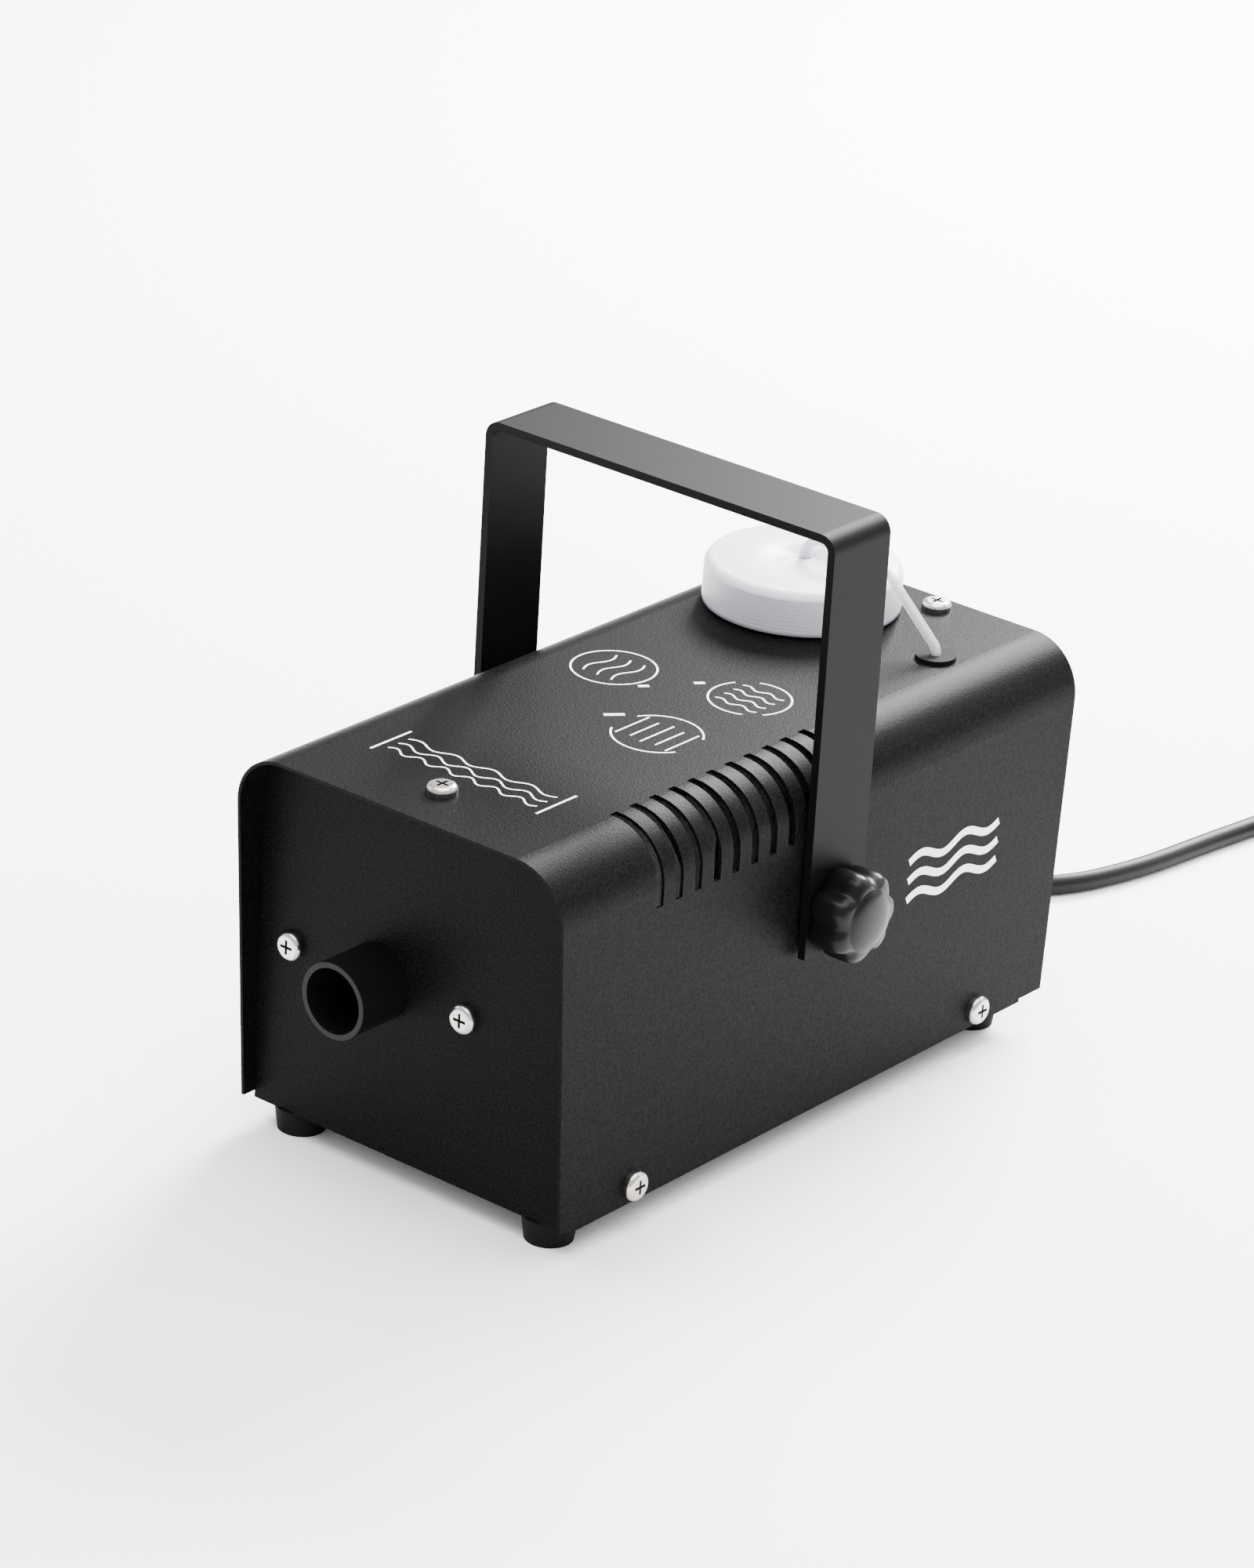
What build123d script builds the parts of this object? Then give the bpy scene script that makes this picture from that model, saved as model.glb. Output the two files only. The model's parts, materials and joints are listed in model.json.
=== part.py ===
from build123d import *
from math import pi, sin, cos, tan, radians, hypot, acos, degrees, sqrt
import os

# ---------------------------------------------------------------- driving dimensions (mm)
W = 118.0            # cover outside width
SHEET = 1.0          # cover sheet
Z_COVER = 9.5        # cover's bottom edge above the floor
Z_TOP = 118.5        # cover's top
R_SHOULDER = 16.5    # cover's outside shoulder radius
YC = 106.4           # from the cover's front bottom edge back to the middle of the length
COVER_FRONT_BOT, COVER_FRONT_TOP = 0.0, -6.5
COVER_REAR_BOT, COVER_REAR_TOP = 222.0, 227.0
Z_PAN = 7.5          # underside of the chassis
PAN = 1.2            # chassis sheet
PANEL_F = 4.3        # front panel's outer face
PANEL_R = 213.0      # rear panel's outer face
NOZ_X, NOZ_Z = -13.6, 59.3
NOZ_R, NOZ_BORE, NOZ_OUT, NOZ_SHANK = 11.25, 9.65, 18.5, 10.8
CAP_X, CAP_Y = -18.0, 192.5
CAP_R, CAP_H, CAP_Z = 29.5, 13.5, 119.5
NECK_R = 18.0
HOLE_X, HOLE_Y = 35.0, 188.0
TUBE_R = 1.5
SLOTS, SLOT_Y0, SLOT_PITCH, SLOT_W = 12, 35.0, 8.2, 3.0
PIV_Y, PIV_Z = 110.0, 73.5
HANDLE_W, HANDLE_T, LEG_IN = 25.0, 2.5, 60.2
HANDLE_TOP, LEG_BOT = 187.5, 61.0
KNOB_R, KNOB_X0 = 13.6, 63.0
FOOT_X, FOOT_YF, FOOT_YR = 46.0, 11.5, 205.0
CORD_R = 3.1
COIL_IN, COIL_OUT, COIL_H = 28.0, 40.7, 12.6


def Y(v):
    return v - YC


os.makedirs("parts", exist_ok=True)
made = {}


def save(name, shape):
    s = shape.solids()
    if len(s) == 1:
        shape = s[0]
    shape.label = name
    made[name] = shape
    export_step(shape, "parts/" + name + ".step")
    bb = shape.bounding_box()
    print(name, len(s), "vol", round(shape.volume, 1), [round(t, 2) for t in (bb.min.X, bb.min.Y, bb.min.Z, bb.max.X, bb.max.Y, bb.max.Z)])


def box(x0, x1, y0, y1, z0, z1):
    return Location(((x0 + x1) / 2, (y0 + y1) / 2, (z0 + z1) / 2)) * Box(x1 - x0, y1 - y0, z1 - z0)


def cyl(r, p, q):
    """Round bar of radius r from point p to point q."""
    p, q = Vector(*p), Vector(*q)
    d = q - p
    return Plane(origin=p, z_dir=d) * Cylinder(r, d.length, align=(Align.CENTER, Align.CENTER, Align.MIN))


def tunnel(half, z0, z1, r, y0, y1):
    """Flat-bottomed arch section with rounded top corners, run along Y."""
    pts = [(-half, z0), (half, z0), (half, z1), (-half, z1)]
    face = make_face(Polyline(*pts, close=True))
    top = face.vertices().sort_by(Axis.Y)[-2:]
    face = fillet(top, r)
    pl = Plane(origin=(0, y0, 0), x_dir=(1, 0, 0), z_dir=(0, -1, 0))
    return extrude(pl * face, amount=-(y1 - y0))


# ---------------------------------------------------------------- cover
outer = tunnel(W / 2, Z_COVER, Z_TOP, R_SHOULDER, Y(-12), Y(232))
inner = tunnel(W / 2 - SHEET, Z_COVER - 5, Z_TOP - SHEET, R_SHOULDER - SHEET, Y(-14), Y(234))
side = make_face(Polyline((Y(COVER_FRONT_BOT), Z_COVER), (Y(COVER_REAR_BOT), Z_COVER), (Y(COVER_REAR_TOP), Z_TOP), (Y(COVER_FRONT_TOP), Z_TOP), close=True))
keep = extrude(Plane(origin=(-80, 0, 0), x_dir=(0, 1, 0), z_dir=(1, 0, 0)) * side, amount=160)
cover = (outer - inner) & keep
cuts = []
for k in range(SLOTS):
    yk = Y(SLOT_Y0 + k * SLOT_PITCH)
    cuts.append(box(41.0, 64.0, yk - SLOT_W / 2, yk + SLOT_W / 2, 96.5, 122))
cover = cover - cuts
cover = cover - cyl(NECK_R + 0.8, (CAP_X, Y(CAP_Y), 112), (CAP_X, Y(CAP_Y), 122))
cover = cover - cyl(4.2, (HOLE_X, Y(HOLE_Y), 112), (HOLE_X, Y(HOLE_Y), 122))
for s in (-1, 1):
    cover = cover - cyl(3.4, (s * 50, Y(PIV_Y), PIV_Z), (s * 66, Y(PIV_Y), PIV_Z))
    for yy in (31, 189):
        cover = cover - cyl(2.1, (s * 50, Y(yy), Z_COVER + 4.3), (s * 66, Y(yy), Z_COVER + 4.3))
for xx, yy in ((0, 11.7), (12, 219)):
    cover = cover - cyl(2.1, (xx, Y(yy), 112), (xx, Y(yy), 122))
save("cover", cover)

# ---------------------------------------------------------------- chassis tray: floor, two end panels, side flanges, top tabs
PH = W / 2 - SHEET - 0.15
chassis = box(-PH, PH, Y(PANEL_F), Y(PANEL_R), Z_PAN, Z_PAN + PAN)
chassis += tunnel(PH, Z_PAN, Z_TOP - SHEET - 0.15, R_SHOULDER - SHEET - 0.15, Y(PANEL_F), Y(PANEL_F + PAN))
chassis += tunnel(PH, Z_PAN, Z_TOP - SHEET - 0.15, R_SHOULDER - SHEET - 0.15, Y(PANEL_R - PAN), Y(PANEL_R))
chassis += box(-PH, -PH + PAN, Y(PANEL_F), Y(PANEL_R), Z_PAN, 26)
chassis += box(PH - PAN, PH, Y(PANEL_F), Y(PANEL_R), Z_PAN, 26)
chassis += box(-28, 28, Y(PANEL_F), Y(20), Z_TOP - SHEET - 0.15 - PAN, Z_TOP - SHEET - 0.15)
chassis += box(-28, 28, Y(PANEL_R - PAN), Y(224), Z_TOP - SHEET - 0.15 - PAN, Z_TOP - SHEET - 0.15)
chassis -= cyl(NOZ_SHANK, (NOZ_X, Y(0), NOZ_Z), (NOZ_X, Y(10), NOZ_Z))
for xx in (NOZ_X - 32, NOZ_X + 32):
    chassis -= cyl(2.1, (xx, Y(0), NOZ_Z), (xx, Y(10), NOZ_Z))
for s in (-1, 1):
    for yy in (31, 189):
        chassis -= cyl(2.1, (s * 50, Y(yy), Z_COVER + 4.3), (s * 66, Y(yy), Z_COVER + 4.3))
    for yy in (FOOT_YF, FOOT_YR):
        chassis -= cyl(2.1, (s * FOOT_X, Y(yy), 5), (s * FOOT_X, Y(yy), 12))
for xx, yy in ((0, 11.7), (12, 219)):
    chassis -= cyl(2.1, (xx, Y(yy), 112), (xx, Y(yy), 122))
# rear cut-outs: rocker switch, remote socket, cord gland
SW_X, SW_Z = 26.0, 78.0
RS_X, RS_Z = 26.0, 42.0
GL_X, GL_Z = -28.0, 30.0
chassis -= box(SW_X - 9.5, SW_X + 9.5, Y(208), Y(216), SW_Z - 6.5, SW_Z + 6.5)
chassis -= cyl(7.0, (RS_X, Y(208), RS_Z), (RS_X, Y(216), RS_Z))
chassis -= cyl(5.0, (GL_X, Y(208), GL_Z), (GL_X, Y(216), GL_Z))
for xx in (-45, 2):
    chassis -= cyl(2.1, (xx, Y(208), 84), (xx, Y(216), 84))
save("chassis", chassis)

# ---------------------------------------------------------------- nozzle and heater
noz = cyl(NOZ_R, (NOZ_X, Y(PANEL_F - NOZ_OUT), NOZ_Z), (NOZ_X, Y(PANEL_F), NOZ_Z)) + cyl(NOZ_SHANK, (NOZ_X, Y(PANEL_F), NOZ_Z), (NOZ_X, Y(12.0), NOZ_Z)) - cyl(NOZ_BORE, (NOZ_X, Y(-20), NOZ_Z), (NOZ_X, Y(8.0), NOZ_Z)) - cyl(3.0, (NOZ_X, Y(0), NOZ_Z), (NOZ_X, Y(14.0), NOZ_Z))
save("nozzle_tube", noz)
jet = cyl(3.0, (NOZ_X, Y(8.0), NOZ_Z), (NOZ_X, Y(20.0), NOZ_Z)) - cyl(0.8, (NOZ_X, Y(3.0), NOZ_Z), (NOZ_X, Y(22.0), NOZ_Z))
save("nozzle_jet", jet)
heat = cyl(20.0, (NOZ_X, Y(20.0), NOZ_Z), (NOZ_X, Y(112.0), NOZ_Z)) - cyl(2.6, (NOZ_X, Y(19), NOZ_Z), (NOZ_X, Y(113), NOZ_Z)) - cyl(4.0, (NOZ_X, Y(30), NOZ_Z + 11), (NOZ_X, Y(113), NOZ_Z + 11))
save("heater_block", heat)
save("heating_element", cyl(3.9, (NOZ_X, Y(30.0), NOZ_Z + 11), (NOZ_X, Y(118.0), NOZ_Z + 11)))
save("heater_insulation", cyl(28.0, (NOZ_X, Y(30.0), NOZ_Z), (NOZ_X, Y(104.0), NOZ_Z)) - cyl(20.2, (NOZ_X, Y(29), NOZ_Z), (NOZ_X, Y(105), NOZ_Z)))
for nm, ya, yb in (("heater_bracket_front", 15.0, 16.5), ("heater_bracket_rear", 106.0, 107.5)):
    br = box(NOZ_X - 36, NOZ_X + 36, Y(ya), Y(yb), Z_PAN + PAN, 92)
    br -= cyl(20.2 if ya > 50 else 3.2, (NOZ_X, Y(ya - 2), NOZ_Z), (NOZ_X, Y(yb + 2), NOZ_Z))
    if ya > 50:
        br += box(NOZ_X - 36, NOZ_X + 36, Y(yb), Y(yb + 10), Z_PAN + PAN, Z_PAN + PAN + 1.5)
    save(nm, br)
save("thermostat", box(NOZ_X + 20.3, NOZ_X + 27.5, Y(109), Y(121), NOZ_Z - 7, NOZ_Z + 7))
save("thermal_fuse", cyl(1.8, (NOZ_X - 9, Y(112.2), NOZ_Z - 9), (NOZ_X - 9, Y(124.0), NOZ_Z - 9)))

# ---------------------------------------------------------------- pump: coil, core tube, plunger, bracket, pipes
PX, PZ = 34.0, 34.0
save("pump_bracket", box(PX - 18, PX + 18, Y(34), Y(96), Z_PAN + PAN, Z_PAN + PAN + 1.5) + box(PX - 18, PX + 18, Y(94.5), Y(96), Z_PAN + PAN, 52) - cyl(6.2, (PX, Y(90), PZ), (PX, Y(100), PZ)))
save("pump_coil", cyl(16.0, (PX, Y(50), PZ), (PX, Y(84), PZ)) - cyl(6.3, (PX, Y(49), PZ), (PX, Y(85), PZ)))
save("pump_body", cyl(6.2, (PX, Y(40), PZ), (PX, Y(104), PZ)) - cyl(4.05, (PX, Y(52), PZ), (PX, Y(96), PZ)))
save("pump_plunger", cyl(4.0, (PX, Y(58), PZ), (PX, Y(88), PZ)))
save("pump_outlet_tube", cyl(2.5, (PX, Y(22.0), PZ), (PX, Y(40.0), PZ)))
save("pump_inlet_tube", cyl(2.5, (PX, Y(104.0), PZ), (PX, Y(132.0), PZ)))

# ---------------------------------------------------------------- tank, cap, suction tube
tank = box(-50, 14, Y(136), Y(210), Z_PAN + PAN + 1, 104)
tank = fillet(tank.edges().filter_by(Axis.Z), 8)
hollow = box(-48.4, 12.4, Y(137.6), Y(208.4), Z_PAN + PAN + 2.6, 102.4)
hollow = fillet(hollow.edges().filter_by(Axis.Z), 6.4)
tank = tank + cyl(NECK_R, (CAP_X, Y(CAP_Y), 103), (CAP_X, Y(CAP_Y), 129.5)) - hollow - cyl(NECK_R - 1.8, (CAP_X, Y(CAP_Y), 100), (CAP_X, Y(CAP_Y), 131))
save("tank", tank)
cap = cyl(CAP_R, (CAP_X, Y(CAP_Y), CAP_Z), (CAP_X, Y(CAP_Y), CAP_Z + CAP_H))
cap = fillet(cap.edges().sort_by(Axis.Z)[-1], 1.2)
cap -= cyl(NECK_R + 0.35, (CAP_X, Y(CAP_Y), CAP_Z - 1), (CAP_X, Y(CAP_Y), 131))
cap -= cyl(CAP_R - 1.8, (CAP_X, Y(CAP_Y), CAP_Z - 1), (CAP_X, Y(CAP_Y), 131)) - cyl(NECK_R + 2.2, (CAP_X, Y(CAP_Y), CAP_Z - 2), (CAP_X, Y(CAP_Y), 132))
cap -= cyl(TUBE_R + 0.5, (CAP_X, Y(CAP_Y), 120), (CAP_X, Y(CAP_Y), 140))
save("tank_cap", cap)
path = FilletPolyline((CAP_X, Y(CAP_Y), 40), (CAP_X, Y(CAP_Y), 140), (12, Y(190.3), 140), (HOLE_X, Y(HOLE_Y), 121.5), (HOLE_X, Y(HOLE_Y), 100), radius=[7, 16, 4])
tube = sweep(Plane(origin=(CAP_X, Y(CAP_Y), 40), z_dir=(0, 0, 1)) * (Circle(TUBE_R) - Circle(0.9)), path=path)
save("suction_tube", tube)
save("tube_grommet", cyl(6.0, (HOLE_X, Y(HOLE_Y), Z_TOP), (HOLE_X, Y(HOLE_Y), Z_TOP + 1.2)) + cyl(4.15, (HOLE_X, Y(HOLE_Y), Z_TOP - 3), (HOLE_X, Y(HOLE_Y), Z_TOP)) - cyl(TUBE_R + 0.05, (HOLE_X, Y(HOLE_Y), 110), (HOLE_X, Y(HOLE_Y), 125)))
save("intake_filter", cyl(5.0, (CAP_X, Y(CAP_Y), 16), (CAP_X, Y(CAP_Y), 39.9)))

# ---------------------------------------------------------------- control board and mains parts
save("control_board", box(26, 54, Y(140), Y(196), 26.0, 27.6))
save("transformer", box(28, 50, Y(146), Y(168), 27.7, 48))
save("relay", box(30, 48, Y(172), Y(186), 27.7, 42))
save("terminal_block", box(20, 40, Y(124), Y(134), Z_PAN + PAN + 0.1, 22))

# ---------------------------------------------------------------- handle, pivots, knobs
U_out = tunnel(LEG_IN + HANDLE_T, LEG_BOT, HANDLE_TOP, 5.0, Y(PIV_Y) - HANDLE_W / 2, Y(PIV_Y) + HANDLE_W / 2)
U_in = tunnel(LEG_IN, LEG_BOT - 5, HANDLE_TOP - HANDLE_T, 2.5, Y(PIV_Y) - HANDLE_W / 2 - 1, Y(PIV_Y) + HANDLE_W / 2 + 1)
handle = U_out - U_in - cyl(2.6, (-70, Y(PIV_Y), PIV_Z), (70, Y(PIV_Y), PIV_Z))
save("handle", handle)
for s, nm in ((1, "right"), (-1, "left")):
    def q(x):
        return (s * x, Y(PIV_Y), PIV_Z)
    save("pivot_washer_" + nm, cyl(8.5, q(59.0), q(59.9)) - cyl(3.0, q(58.5), q(60.5)))
    save("pivot_nut_" + nm, cyl(6.5, q(52.5), q(57.9)) - cyl(2.55, q(50), q(60)))
    kn = cyl(10.6, q(KNOB_X0), q(KNOB_X0 + 11.5))
    for k in range(7):
        a = 2 * pi * k / 7
        c = (Y(PIV_Y) + 9.9 * cos(a), PIV_Z + 9.9 * sin(a))
        kn += cyl(3.7, (s * KNOB_X0, c[0], c[1]), (s * (KNOB_X0 + 11.5), c[0], c[1]))
    kn += cyl(8.6, q(KNOB_X0 + 11.5), q(KNOB_X0 + 14.0))
    kn += cyl(2.5, q(50.5), q(KNOB_X0 + 1))
    save("knob_" + nm, kn)

# ---------------------------------------------------------------- feet and screws
for sx, sn in ((-1, "l"), (1, "r")):
    for yy, yn in ((FOOT_YF, "f"), (FOOT_YR, "r")):
        ft = Location((sx * FOOT_X, Y(yy), Z_PAN / 2)) * Cone(7.0, 8.0, Z_PAN)
        ft -= cyl(4.0, (sx * FOOT_X, Y(yy), -1), (sx * FOOT_X, Y(yy), 3))
        save("foot_" + yn + sn, ft)


def screw(name, p, d, grip=7.0):
    """Pan-head screw: p is the seat of the head, d points out of the head."""
    p, d = Vector(*p), Vector(*d)
    b = Plane(origin=p, z_dir=d) * Cylinder(4.4, 2.6, align=(Align.CENTER, Align.CENTER, Align.MIN))
    b = fillet(b.edges().sort_by(lambda e: (e.center() - p).dot(d))[-1], 1.6)
    pl = Plane(origin=p + d * 2.7, z_dir=d)
    for w, h in ((4.4, 0.9), (0.9, 4.4)):
        b -= pl * Box(w, h, 2.6)
    b += Plane(origin=p, z_dir=d * -1) * Cylinder(2.0, grip, align=(Align.CENTER, Align.CENTER, Align.MIN))
    save(name, b)


for s, sn in ((-1, "l"), (1, "r")):
    for yy, yn in ((31, "f"), (189, "r")):
        screw("screw_side_" + yn + sn, (s * W / 2, Y(yy), Z_COVER + 4.3), (s, 0, 0))
screw("screw_top_front", (0, Y(11.7), Z_TOP), (0, 0, 1))
screw("screw_top_rear", (12, Y(219), Z_TOP), (0, 0, 1))
screw("screw_panel_left", (NOZ_X - 32, Y(PANEL_F), NOZ_Z), (0, -1, 0))
screw("screw_panel_right", (NOZ_X + 32, Y(PANEL_F), NOZ_Z), (0, -1, 0))
screw("screw_rear_left", (-45, Y(PANEL_R), 84), (0, 1, 0), 2.6)
screw("screw_rear_right", (2, Y(PANEL_R), 84), (0, 1, 0), 2.6)

# ---------------------------------------------------------------- rear switch and remote socket
bez = box(SW_X - 11, SW_X + 11, Y(PANEL_R), Y(PANEL_R + 2), SW_Z - 8, SW_Z + 8) + box(SW_X - 9.4, SW_X + 9.4, Y(PANEL_R - 12), Y(PANEL_R), SW_Z - 6.4, SW_Z + 6.4)
bez -= box(SW_X - 8.2, SW_X + 8.2, Y(PANEL_R - 10.5), Y(PANEL_R + 3), SW_Z - 5.2, SW_Z + 5.2)
save("switch_bezel", bez)
rocker = extrude(Plane(origin=(SW_X, 0, SW_Z), x_dir=(0, 1, 0), z_dir=(0, 0, 1)) * make_face(Polyline((Y(PANEL_R - 5), -6.6), (Y(PANEL_R + 1.2), -7.4), (Y(PANEL_R + 2.0), 0.0), (Y(PANEL_R + 4.4), 7.4), (Y(PANEL_R - 5), 6.6), close=True)), amount=4.7, both=True)
save("rocker", rocker)
sock = cyl(9.0, (RS_X, Y(PANEL_R), RS_Z), (RS_X, Y(PANEL_R + 3), RS_Z)) + cyl(6.9, (RS_X, Y(PANEL_R - 14), RS_Z), (RS_X, Y(PANEL_R), RS_Z)) - cyl(5.4, (RS_X, Y(PANEL_R - 9), RS_Z), (RS_X, Y(PANEL_R + 4), RS_Z))
for k in (-2.2, 2.2):
    sock += cyl(0.8, (RS_X + k, Y(PANEL_R - 10), RS_Z), (RS_X + k, Y(PANEL_R - 2), RS_Z))
save("remote_socket", sock)

# ---------------------------------------------------------------- mains cord: gland, tube, coil, plug
CZ = CORD_R
gland = cyl(7.0, (GL_X, Y(PANEL_R), GL_Z), (GL_X, Y(PANEL_R + 4), GL_Z)) + cyl(4.9, (GL_X, Y(PANEL_R - 2.6), GL_Z), (GL_X, Y(PANEL_R), GL_Z)) + Plane(origin=(GL_X, Y(PANEL_R + 4), GL_Z), z_dir=(0, 1, 0)) * Cone(6.2, 4.3, 11, align=(Align.CENTER, Align.CENTER, Align.MIN)) - cyl(CORD_R, (GL_X, Y(PANEL_R - 10), GL_Z), (GL_X, Y(PANEL_R + 18), GL_Z))
save("cord_gland", gland)
route = [(-28.0, 210.4, 30.0), (-28.0, 243.0, 29.5), (-14.0, 274.0, CZ), (12.0, 295.0, CZ), (22.0, 326.0, CZ), (25.5, 358.0, CZ), (30.0, 390.0, CZ), (36.6, 426.0, CZ)]
pts = [Vector(p[0], Y(p[1]), p[2]) for p in route]
radii = []
for i in range(1, len(pts) - 1):
    a, b = pts[i] - pts[i - 1], pts[i + 1] - pts[i]
    turn = radians(a.get_angle(b))
    radii.append(min(0.45 * min(a.length, b.length) / tan(turn / 2), 120.0))
wire = FilletPolyline(*pts, radius=radii)
cord = sweep(Plane(origin=pts[0], z_dir=(pts[1] - pts[0])) * Circle(CORD_R), path=wire)
print("cord length", wire.length, "radii", [round(r, 1) for r in radii], "tube against its length", cord.volume / (pi * CORD_R ** 2 * wire.length))
save("mains_cord", cord)
coil_c = (36.6 + 34.4, Y(426.0))
coil = Location((coil_c[0], coil_c[1], COIL_H / 2)) * Cylinder(COIL_OUT, COIL_H) - Location((coil_c[0], coil_c[1], COIL_H / 2)) * Cylinder(COIL_IN, COIL_H)
save("mains_coil", coil)
pc = (coil_c[0], coil_c[1] + 34.35)
plug = box(pc[0] - 14, pc[0] + 22, pc[1] - 13, pc[1] + 13, COIL_H, COIL_H + 24)
plug = fillet(plug.edges().filter_by(Axis.X), 5)
for s in (-1, 1):
    plug += cyl(2.4, (pc[0] + 22, pc[1] + s * 9.5, COIL_H + 12), (pc[0] + 41, pc[1] + s * 9.5, COIL_H + 12))
plug += cyl(4.6, (pc[0] - 26, pc[1], COIL_H + 12), (pc[0] - 14, pc[1], COIL_H + 12))
save("mains_plug", plug)
lo = [min(getattr(s.bounding_box().min, a) for n, s in made.items() if n not in ("mains_cord", "mains_coil", "mains_plug", "cord_gland")) for a in "XYZ"]
hi = [max(getattr(s.bounding_box().max, a) for n, s in made.items() if n not in ("mains_cord", "mains_coil", "mains_plug", "cord_gland")) for a in "XYZ"]
print("box without cord", lo, hi, "count", len(made))
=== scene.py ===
import json
import bpy
from math import pi, sin, cos, radians, sqrt
from mathutils import Matrix, Vector


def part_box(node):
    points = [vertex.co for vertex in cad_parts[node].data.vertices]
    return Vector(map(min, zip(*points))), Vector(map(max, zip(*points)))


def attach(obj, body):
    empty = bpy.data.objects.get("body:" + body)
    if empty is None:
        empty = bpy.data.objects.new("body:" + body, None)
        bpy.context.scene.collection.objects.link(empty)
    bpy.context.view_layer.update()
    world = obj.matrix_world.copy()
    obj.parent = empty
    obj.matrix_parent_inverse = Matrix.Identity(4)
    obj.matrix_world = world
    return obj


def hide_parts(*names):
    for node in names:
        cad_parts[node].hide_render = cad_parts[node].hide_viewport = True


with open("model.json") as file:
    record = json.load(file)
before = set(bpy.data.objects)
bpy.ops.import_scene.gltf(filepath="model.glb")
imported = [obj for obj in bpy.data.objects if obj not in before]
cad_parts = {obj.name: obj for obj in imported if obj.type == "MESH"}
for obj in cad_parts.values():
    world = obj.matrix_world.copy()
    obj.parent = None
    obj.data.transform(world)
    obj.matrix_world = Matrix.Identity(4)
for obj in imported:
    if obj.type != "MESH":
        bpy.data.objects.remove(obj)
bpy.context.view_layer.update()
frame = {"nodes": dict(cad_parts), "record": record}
N = frame["nodes"]

# ------------------------------------------------------------------ camera
cam_data = bpy.data.cameras.new("view_camera")
cam_data.lens = 134.55
cam_data.sensor_width = 36.0
cam_data.sensor_fit = "AUTO"
cam_data.clip_start = 0.05
cam_data.clip_end = 100.0
camera = bpy.data.objects.new("view_camera", cam_data)
bpy.context.collection.objects.link(camera)
right = Vector((0.76829012, 0.63767811, 0.05564996))
up = Vector((-0.29672909, 0.27777064, 0.91367134))
back = Vector((0.56717029, -0.71847763, 0.40262609))
m = Matrix.Identity(4)
for i in range(3):
    m[i][0], m[i][1], m[i][2] = right[i], up[i], back[i]
m[0][3], m[1][3], m[2][3] = 0.9377, -1.2020, 0.7620
camera.matrix_world = m
bpy.context.scene.camera = camera


# ------------------------------------------------------------------ materials
def mat(name, color, rough, metal=0.0, spec=0.5, coat=0.0, trans=0.0, bump=None, mottling=None, ior=1.45, sss=0.0, alpha=1.0):
    mt = bpy.data.materials.new(name)
    mt.use_nodes = True
    nt = mt.node_tree
    b = nt.nodes["Principled BSDF"]
    b.inputs["Base Color"].default_value = (*color, 1)
    b.inputs["Roughness"].default_value = rough
    b.inputs["Metallic"].default_value = metal
    b.inputs["Specular IOR Level"].default_value = spec
    b.inputs["Coat Weight"].default_value = coat
    b.inputs["Transmission Weight"].default_value = trans
    b.inputs["IOR"].default_value = ior
    b.inputs["Alpha"].default_value = alpha
    if sss:
        b.inputs["Subsurface Weight"].default_value = sss
        b.inputs["Subsurface Radius"].default_value = (0.004, 0.004, 0.004)
        b.inputs["Subsurface Scale"].default_value = 1.0
    tc = nt.nodes.new("ShaderNodeTexCoord")
    if bump:
        n = nt.nodes.new("ShaderNodeTexNoise")
        n.inputs["Scale"].default_value = bump[0]
        n.inputs["Detail"].default_value = 3.0
        bp = nt.nodes.new("ShaderNodeBump")
        bp.inputs["Strength"].default_value = bump[1]
        bp.inputs["Distance"].default_value = bump[2]
        nt.links.new(tc.outputs["Object"], n.inputs["Vector"])
        nt.links.new(n.outputs["Fac"], bp.inputs["Height"])
        nt.links.new(bp.outputs["Normal"], b.inputs["Normal"])
    if mottling:
        n2 = nt.nodes.new("ShaderNodeTexNoise")
        n2.inputs["Scale"].default_value = mottling[0]
        n2.inputs["Detail"].default_value = 2.0
        rp = nt.nodes.new("ShaderNodeValToRGB")
        rp.color_ramp.elements[0].position = 0.35
        rp.color_ramp.elements[1].position = 0.65
        rp.color_ramp.elements[0].color = (*mottling[1], 1)
        rp.color_ramp.elements[1].color = (*mottling[2], 1)
        nt.links.new(tc.outputs["Object"], n2.inputs["Vector"])
        nt.links.new(n2.outputs["Fac"], rp.inputs["Fac"])
        nt.links.new(rp.outputs["Color"], b.inputs["Base Color"])
    return mt


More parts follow.
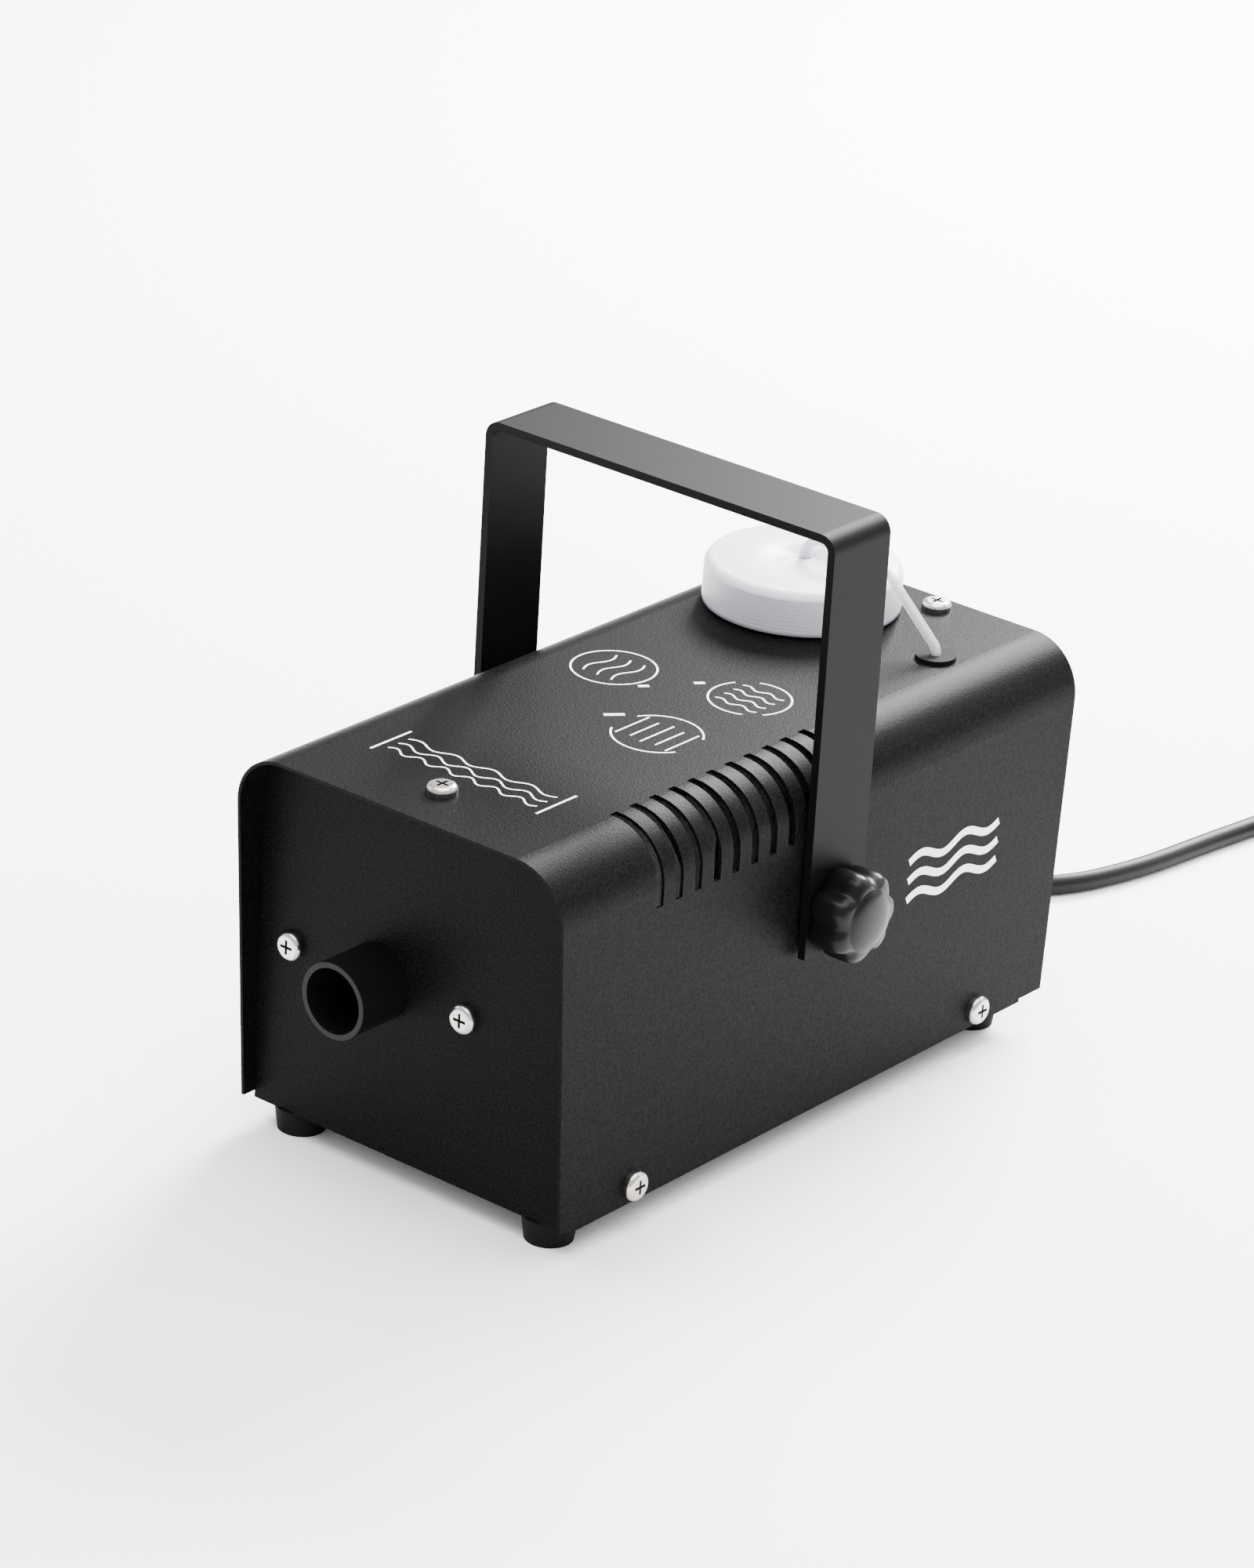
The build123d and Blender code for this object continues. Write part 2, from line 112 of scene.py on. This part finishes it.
M = {
    "powder_black": mat("powder_coat", (0.008, 0.008, 0.009), 0.40, spec=0.025, bump=(1500, 0.25, 0.0003), mottling=(1400, (0.0012, 0.0012, 0.0014), (0.0052, 0.0052, 0.006))),
    "handle_black": mat("handle_paint", (0.002, 0.002, 0.0022), 0.5, spec=0.05, bump=(900, 0.08, 0.0002)),
    "nozzle_black": mat("nozzle_paint", (0.003, 0.003, 0.0035), 0.38, spec=0.1, bump=(900, 0.1, 0.0002)),
    "jet_brass": mat("jet_brass", (0.35, 0.27, 0.14), 0.35, metal=1.0),
    "heater_alloy": mat("cast_alloy", (0.7, 0.7, 0.71), 0.45, metal=1.0, bump=(300, 0.2, 0.0003)),
    "steel": mat("zinc_steel", (0.6, 0.6, 0.6), 0.35, metal=1.0),
    "nickel": mat("bright_nickel", (0.50, 0.47, 0.44), 0.24, metal=1.0),
    "insulation_white": mat("ceramic_fibre", (0.8, 0.78, 0.72), 0.95, bump=(500, 0.5, 0.001)),
    "rubber_black": mat("rubber", (0.004, 0.004, 0.004), 0.7, spec=0.08),
    "knob_plastic": mat("knob_plastic", (0.003, 0.003, 0.0035), 0.3, spec=0.14, bump=(700, 0.05, 0.0002)),
    "cap_plastic": mat("milky_cap", (0.60, 0.60, 0.66), 0.38, spec=0.4, sss=0.25),
    "tank_plastic": mat("milky_tank", (0.8, 0.81, 0.8), 0.4, sss=0.3),
    "tube_clear": mat("clear_tube", (0.62, 0.64, 0.66), 0.15, spec=0.5, trans=0.4, alpha=0.6),
    "filter_bronze": mat("sintered_bronze", (0.5, 0.36, 0.22), 0.6, metal=1.0),
    "copper_coil": mat("copper_wire", (0.75, 0.36, 0.2), 0.3, metal=1.0),
    "board_green": mat("solder_mask", (0.03, 0.18, 0.08), 0.3),
    "component_black": mat("component_black", (0.012, 0.012, 0.012), 0.45),
    "switch_plastic": mat("switch_plastic", (0.010, 0.010, 0.010), 0.2),
    "rocker_red": mat("rocker_red", (0.42, 0.012, 0.012), 0.2, coat=0.3),
    "cord_pvc": mat("cord_sheath", (0.005, 0.005, 0.0055), 0.45, spec=0.15),
    "print_white": mat("print_white", (0.80, 0.80, 0.82), 0.5),
}
slots = {s["node"]: s["material_slot"] for s in frame["record"]["subparts"]}
for name, ob in N.items():
    if ob.type != "MESH":
        continue
    mt = M[slots[name]]
    if ob.material_slots:
        for sl in ob.material_slots:
            sl.material = mt
    else:
        ob.data.materials.append(mt)
for name, w in (("cover", 0.0003), ("chassis", 0.0003), ("handle", 0.0006), ("nozzle_tube", 0.0004), ("switch_bezel", 0.0005), ("rocker", 0.0005), ("remote_socket", 0.0004), ("mains_plug", 0.001), ("pivot_washer_left", 0.0002), ("pivot_washer_right", 0.0002)):
    bv = N[name].modifiers.new("edge", "BEVEL")
    bv.width = w
    bv.segments = 2
    bv.limit_method = "ANGLE"
    bv.angle_limit = radians(40)
    bv.harden_normals = False


# ------------------------------------------------------------------ helpers
def mesh_piece(name, verts, faces, body, slot, smooth=True, mtl=None):
    me = bpy.data.meshes.new(name)
    me.from_pydata([tuple(v) for v in verts], [], faces)
    me.update()
    ob = bpy.data.objects.new(name, me)
    bpy.context.collection.objects.link(ob)
    me.materials.append(mtl or M[slot])
    if smooth:
        for p in me.polygons:
            p.use_smooth = True
    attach(ob, body)
    return ob


def lathe(name, profile, place, seg, body, slot, radius=None, closed=False):
    """profile: (r, h) pairs; place(x, y, h) gives the row-frame point; radius(r, h, angle) may shape it."""
    verts, faces = [], []
    n = len(profile)
    for k in range(seg):
        a = 2 * pi * k / seg
        for r, h in profile:
            rr = radius(r, h, a) if radius else r
            verts.append(place(rr * cos(a), rr * sin(a), h))
    for k in range(seg):
        k2 = (k + 1) % seg
        for j in range(n if closed else n - 1):
            j2 = (j + 1) % n
            faces.append((k * n + j, k2 * n + j, k2 * n + j2, k * n + j2))
    if not closed:
        faces.append(tuple(k * n for k in reversed(range(seg))))
        faces.append(tuple(k * n + n - 1 for k in range(seg)))
    ob = mesh_piece(name, verts, faces, body, slot)
    import bmesh
    bm = bmesh.new()
    bm.from_mesh(ob.data)
    bmesh.ops.recalc_face_normals(bm, faces=bm.faces)
    bm.to_mesh(ob.data)
    bm.free()
    return ob


# ------------------------------------------------------------------ mains lead: route, coil turns, plug
route = [(-0.028, 0.1040, 0.030), (-0.028, 0.1366, 0.0295), (-0.014, 0.1676, 0.0031), (0.012, 0.1886, 0.0031), (0.022, 0.2196, 0.0031), (0.0255, 0.2516, 0.0031), (0.030, 0.2836, 0.0031)]
CX, CY = 0.0710, 0.3196
pts = list(route)
turns = [(0.0374, 0.0033), (0.0312, 0.0033), (0.0312, 0.0095), (0.0374, 0.0095)]
STEPS = 14
seq = []
for t, (r, z) in enumerate(turns):
    for k in range(STEPS):
        seq.append((pi - 2 * pi * k / STEPS, r, z))
for i, (a, r, z) in enumerate(seq):
    # ease from one ring to the next over three points
    j = min(len(seq) - 1, i + 2)
    r2 = (r * 2 + seq[j][1]) / 3
    z2 = (z * 2 + seq[j][2]) / 3
    if i < 2:
        r2 = 0.0362 + 0.0006 * i
    pts.append((CX + r2 * cos(a), CY + r2 * sin(a), z2))
pts = pts[:-5]
for a, r, z in ((-0.90, 0.0374, 0.0098), (-1.35, 0.0376, 0.0106), (-1.80, 0.0380, 0.0122), (-2.25, 0.0384, 0.0146), (-2.70, 0.0390, 0.0174), (-3.10, 0.0398, 0.0202), (-3.45, 0.0412, 0.0226), (-3.75, 0.0430, 0.0240)):
    pts.append((CX + r * cos(a), CY + r * sin(a), z))
pts += [(CX - 0.0290, CY + 0.03435, 0.0246), (CX - 0.0210, CY + 0.03435, 0.0246), (CX - 0.0140, CY + 0.03435, 0.0246)]
cu = bpy.data.curves.new("mains_lead", "CURVE")
cu.dimensions = "3D"
sp = cu.splines.new("NURBS")
sp.points.add(len(pts) - 1)
for p, q in zip(sp.points, pts):
    p.co = (*q, 1.0)
sp.order_u = 3
sp.use_endpoint_u = True
sp.resolution_u = 8
cu.bevel_depth = 0.0031
cu.bevel_resolution = 6
cu.use_fill_caps = True
lead = bpy.data.objects.new("mains_lead", cu)
bpy.context.collection.objects.link(lead)
cu.materials.append(M["cord_pvc"])
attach(lead, "case")
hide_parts("mains_cord", "mains_coil")
ev = bpy.data.curves.new("probe", "CURVE")
ev.dimensions = "3D"
s2 = ev.splines.new("NURBS")
s2.points.add(len(pts) - 1)
for p, q in zip(s2.points, pts):
    p.co = (*q, 1.0)
s2.order_u = 3
s2.use_endpoint_u = True
s2.resolution_u = 12
probe = bpy.data.objects.new("probe", ev)
bpy.context.collection.objects.link(probe)
bpy.context.view_layer.update()
me = bpy.data.meshes.new_from_object(probe)
bpy.data.objects.remove(probe)
bpy.data.meshes.remove(me)

# ------------------------------------------------------------------ floor, light, world
fl = bpy.data.meshes.new("floor_sheet")
fl.from_pydata([(-6, -6, 0), (6, -6, 0), (6, 6, 0), (-6, 6, 0)], [], [(0, 1, 2, 3)])
floor = bpy.data.objects.new("floor_sheet", fl)
bpy.context.collection.objects.link(floor)
floor.location = (0, 0, -0.0001)
fl.materials.append(mat("floor_pale", (0.97, 0.97, 0.97), 0.9, spec=0.1))
w = bpy.data.worlds.new("studio")
w.use_nodes = True
w.node_tree.nodes["Background"].inputs["Color"].default_value = (1, 1, 1, 1)
w.node_tree.nodes["Background"].inputs["Strength"].default_value = 1.35
bpy.context.scene.world = w


def area(name, loc, aim, size, power, size_y=None):
    ld = bpy.data.lights.new(name, "AREA")
    ld.shape = "RECTANGLE"
    ld.size = size
    ld.size_y = size_y or size
    ld.energy = power
    lo = bpy.data.objects.new(name, ld)
    bpy.context.collection.objects.link(lo)
    d = Vector(aim) - Vector(loc)
    lo.rotation_euler = d.to_track_quat("-Z", "Y").to_euler()
    lo.location = loc
    return lo


area("overhead", (-0.30, 1.35, 1.0), (0.02, 0.06, 0.10), 0.9, 190, 0.6)
area("ceiling", (0.2, -0.1, 2.4), (0, 0, 0), 2.6, 170)
area("back_strip", (0.9, 1.2, 0.9), (0, 0, 0.1), 0.5, 10, 1.0)
area("left_fill", (-1.6, -0.6, 0.9), (0, 0, 0.08), 0.9, 6)

# ------------------------------------------------------------------ tank cap: ribbed skirt, rounded rim, hole for the tube
cx, cy = -0.018, 0.0861
prof = []
z0, z1 = 0.1195, 0.1330
prof.append((0.0184, z0))
prof.append((0.0184, 0.1310))
prof.append((0.0021, 0.1310))
prof.append((0.0021, z1))
prof.append((0.0150, z1))
prof.append((0.0236, z1))
prof.append((0.0244, z1 - 0.0003))
prof.append((0.0266, z1 - 0.0003))
prof.append((0.0278, z1 - 0.0005))
prof.append((0.0287, z1 - 0.0014))
k = 0
zz = z1 - 0.0020
while zz > z0 + 0.0006:
    prof.append((0.02900 + 0.00034 * (k % 2) + 0.0003 * (z1 - zz) / 0.0135, zz))
    zz -= 0.00060
    k += 1
prof.append((0.0295, z0))
cap = lathe("cap_ribbed", prof, lambda x, y, h: (cx + x, cy + y, h), 96, "tank_cap", "cap_plastic", closed=True)
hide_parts("tank_cap")

# ------------------------------------------------------------------ clamp knobs: seven soft lobes and a domed face
py, pz = 0.0036, 0.0735
kp = [(0.0025, 0.0505), (0.0025, 0.0630), (0.0100, 0.0630), (0.0128, 0.0633), (0.0134, 0.0640), (0.0136, 0.0660), (0.0136, 0.0700), (0.0134, 0.0722), (0.0127, 0.0737), (0.0114, 0.0746), (0.0098, 0.0751), (0.0094, 0.0751), (0.0089, 0.0755), (0.0074, 0.0762), (0.0050, 0.0767), (0.0025, 0.07695), (0.0006, 0.0770)]


def lobes(r, h, a):
    if r < 0.0092:
        return r
    t = min(1.0, (r - 0.0092) / 0.0030)
    return r - 0.0021 * t * (0.5 - 0.5 * cos(7 * a)) ** 1.6


for s, nm in ((1, "right"), (-1, "left")):
    kn = lathe("knob_lobed_" + nm, kp, lambda x, y, h, s=s: (s * h, py + x, pz + y), 140, "knob_" + nm, "knob_plastic", radius=lobes)
    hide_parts("knob_" + nm)


# ------------------------------------------------------------------ generic white line marks
def ribbon(name, runs, place, width=0.0007):
    """Flat strips along 2-D polylines; place(u, v) gives the row-frame point."""
    verts, faces = [], []
    for run in runs:
        closed = run[0] == run[-1]
        p = [Vector(q) for q in (run[:-1] if closed else run)]
        n = len(p)
        base = len(verts)
        for i in range(n):
            a = p[(i - 1) % n] if (closed or i > 0) else p[i]
            b = p[(i + 1) % n] if (closed or i < n - 1) else p[i]
            d = (b - a).normalized()
            nn = Vector((-d.y, d.x)) * width / 2
            verts.append(place(*(p[i] + nn)))
            verts.append(place(*(p[i] - nn)))
        for i in range(n if closed else n - 1):
            j = (i + 1) % n
            faces.append((base + 2 * i, base + 2 * i + 1, base + 2 * j + 1, base + 2 * j))
    ob = mesh_piece(name, verts, faces, "case", "powder_black", smooth=False, mtl=M["print_white"])
    return ob


def wave(x0, y0, x1, y1, amp, cycles, n=28):
    d = Vector((x1 - x0, y1 - y0))
    q = Vector((-d.y, d.x)).normalized()
    return [tuple(Vector((x0, y0)) + d * (i / n) + q * amp * sin(2 * pi * cycles * i / n)) for i in range(n + 1)]


def ring(cx_, cy_, rx, ry, n=48, a0=0.0, a1=2 * pi):
    out = [(cx_ + rx * cos(a0 + (a1 - a0) * i / n), cy_ + ry * sin(a0 + (a1 - a0) * i / n)) for i in range(n + 1)]
    if abs(a1 - a0 - 2 * pi) < 1e-6:
        out[-1] = out[0]
    return out


def top(u, v):
    return (u, v, 0.11856)


def flank(u, v):
    return (0.05906, u, v)


marks = []
# plume sign near the front: a wide band of rolling waves over short bars
for k in range(3):
    marks.append(wave(-0.030, -0.0830 + 0.0042 * k, 0.024, -0.0830 + 0.0042 * k, 0.0012, 6 - k, 70))
ribbon("mark_top_band", marks, top, 0.0006)
ribbon("mark_top_band_ends", [[(-0.033, -0.087), (-0.033, -0.070)], [(0.027, -0.087), (0.027, -0.070)]], top, 0.0008)
marks = [ring(-0.024, 0.007, 0.0125, 0.0125)]
for k in (-1, 0, 1):
    marks.append(wave(-0.024 + 0.0052 * k, -0.0005, -0.024 + 0.0052 * k, 0.0145, 0.0012, 1.0))
ribbon("mark_top_plume", marks, top, 0.0006)
marks = [ring(0.015, -0.021, 0.0130, 0.0130, a0=0.5, a1=2.7), ring(0.015, -0.021, 0.0130, 0.0130, a0=3.6, a1=5.8)]
for k in range(5):
    x = 0.006 + 0.0045 * k
    marks.append([(x, -0.0285 + 0.0012 * (k % 2)), (x, -0.0135 - 0.0012 * (k % 2))])
ribbon("mark_top_bars", marks, top, 0.0006)
marks = [ring(0.017, 0.018, 0.0120, 0.0120, a0=-0.6, a1=2.0), ring(0.017, 0.018, 0.0120, 0.0120, a0=2.6, a1=5.2)]
for k in range(4):
    marks.append(wave(0.0095, 0.0115 + 0.0042 * k, 0.0245, 0.0115 + 0.0042 * k, 0.0008, 2.0))
ribbon("mark_top_mist", marks, top, 0.0006)
ribbon("mark_top_dashes", [[(-0.0040, -0.0215), (0.0000, -0.0170)], [(-0.0105, 0.0015), (-0.0085, 0.0040)], [(-0.0010, 0.0150), (0.0010, 0.0175)]], top, 0.0016)
marks = []
for k in range(3):
    marks.append(wave(0.043, 0.0615 + 0.0060 * k, 0.086, 0.0615 + 0.0060 * k, 0.0016, 2.0, 60))
ribbon("mark_side_waves", marks, flank, 0.0024)

# Painted shade: a near-black cross-shaped sheet set 0.6 mm inside each screw head's face stands in for the shadow
# inside the cross recess; the screw metal there is not black.
recess_shade_paint = mat("recess_painted_shade", (0.004, 0.004, 0.004), 0.6, spec=0.1)
heads = {"screw_side_fl": (0, -1), "screw_side_rl": (0, -1), "screw_side_fr": (0, 1), "screw_side_rr": (0, 1), "screw_top_front": (2, 1), "screw_top_rear": (2, 1), "screw_panel_left": (1, -1), "screw_panel_right": (1, -1), "screw_rear_left": (1, 1), "screw_rear_right": (1, 1)}
for nm, (ax, sg) in heads.items():
    lo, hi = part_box(nm)
    mid = [(lo[i] + hi[i]) / 2 for i in range(3)]
    face = hi[ax] if sg > 0 else lo[ax]
    o1, o2 = [i for i in range(3) if i != ax]
    verts, faces = [], []
    for w1, w2 in ((0.0021, 0.00043), (0.00043, 0.0021)):
        b0 = len(verts)
        for c1, c2 in ((-w1, -w2), (w1, -w2), (w1, w2), (-w1, w2)):
            v = [0, 0, 0]
            v[ax] = face - sg * 0.0006
            v[o1] = mid[o1] + c1
            v[o2] = mid[o2] + c2
            verts.append(tuple(v))
        faces.append((b0, b0 + 1, b0 + 2, b0 + 3))
    mesh_piece("recess_" + nm, verts, faces, "case", "nickel", smooth=False, mtl=recess_shade_paint)
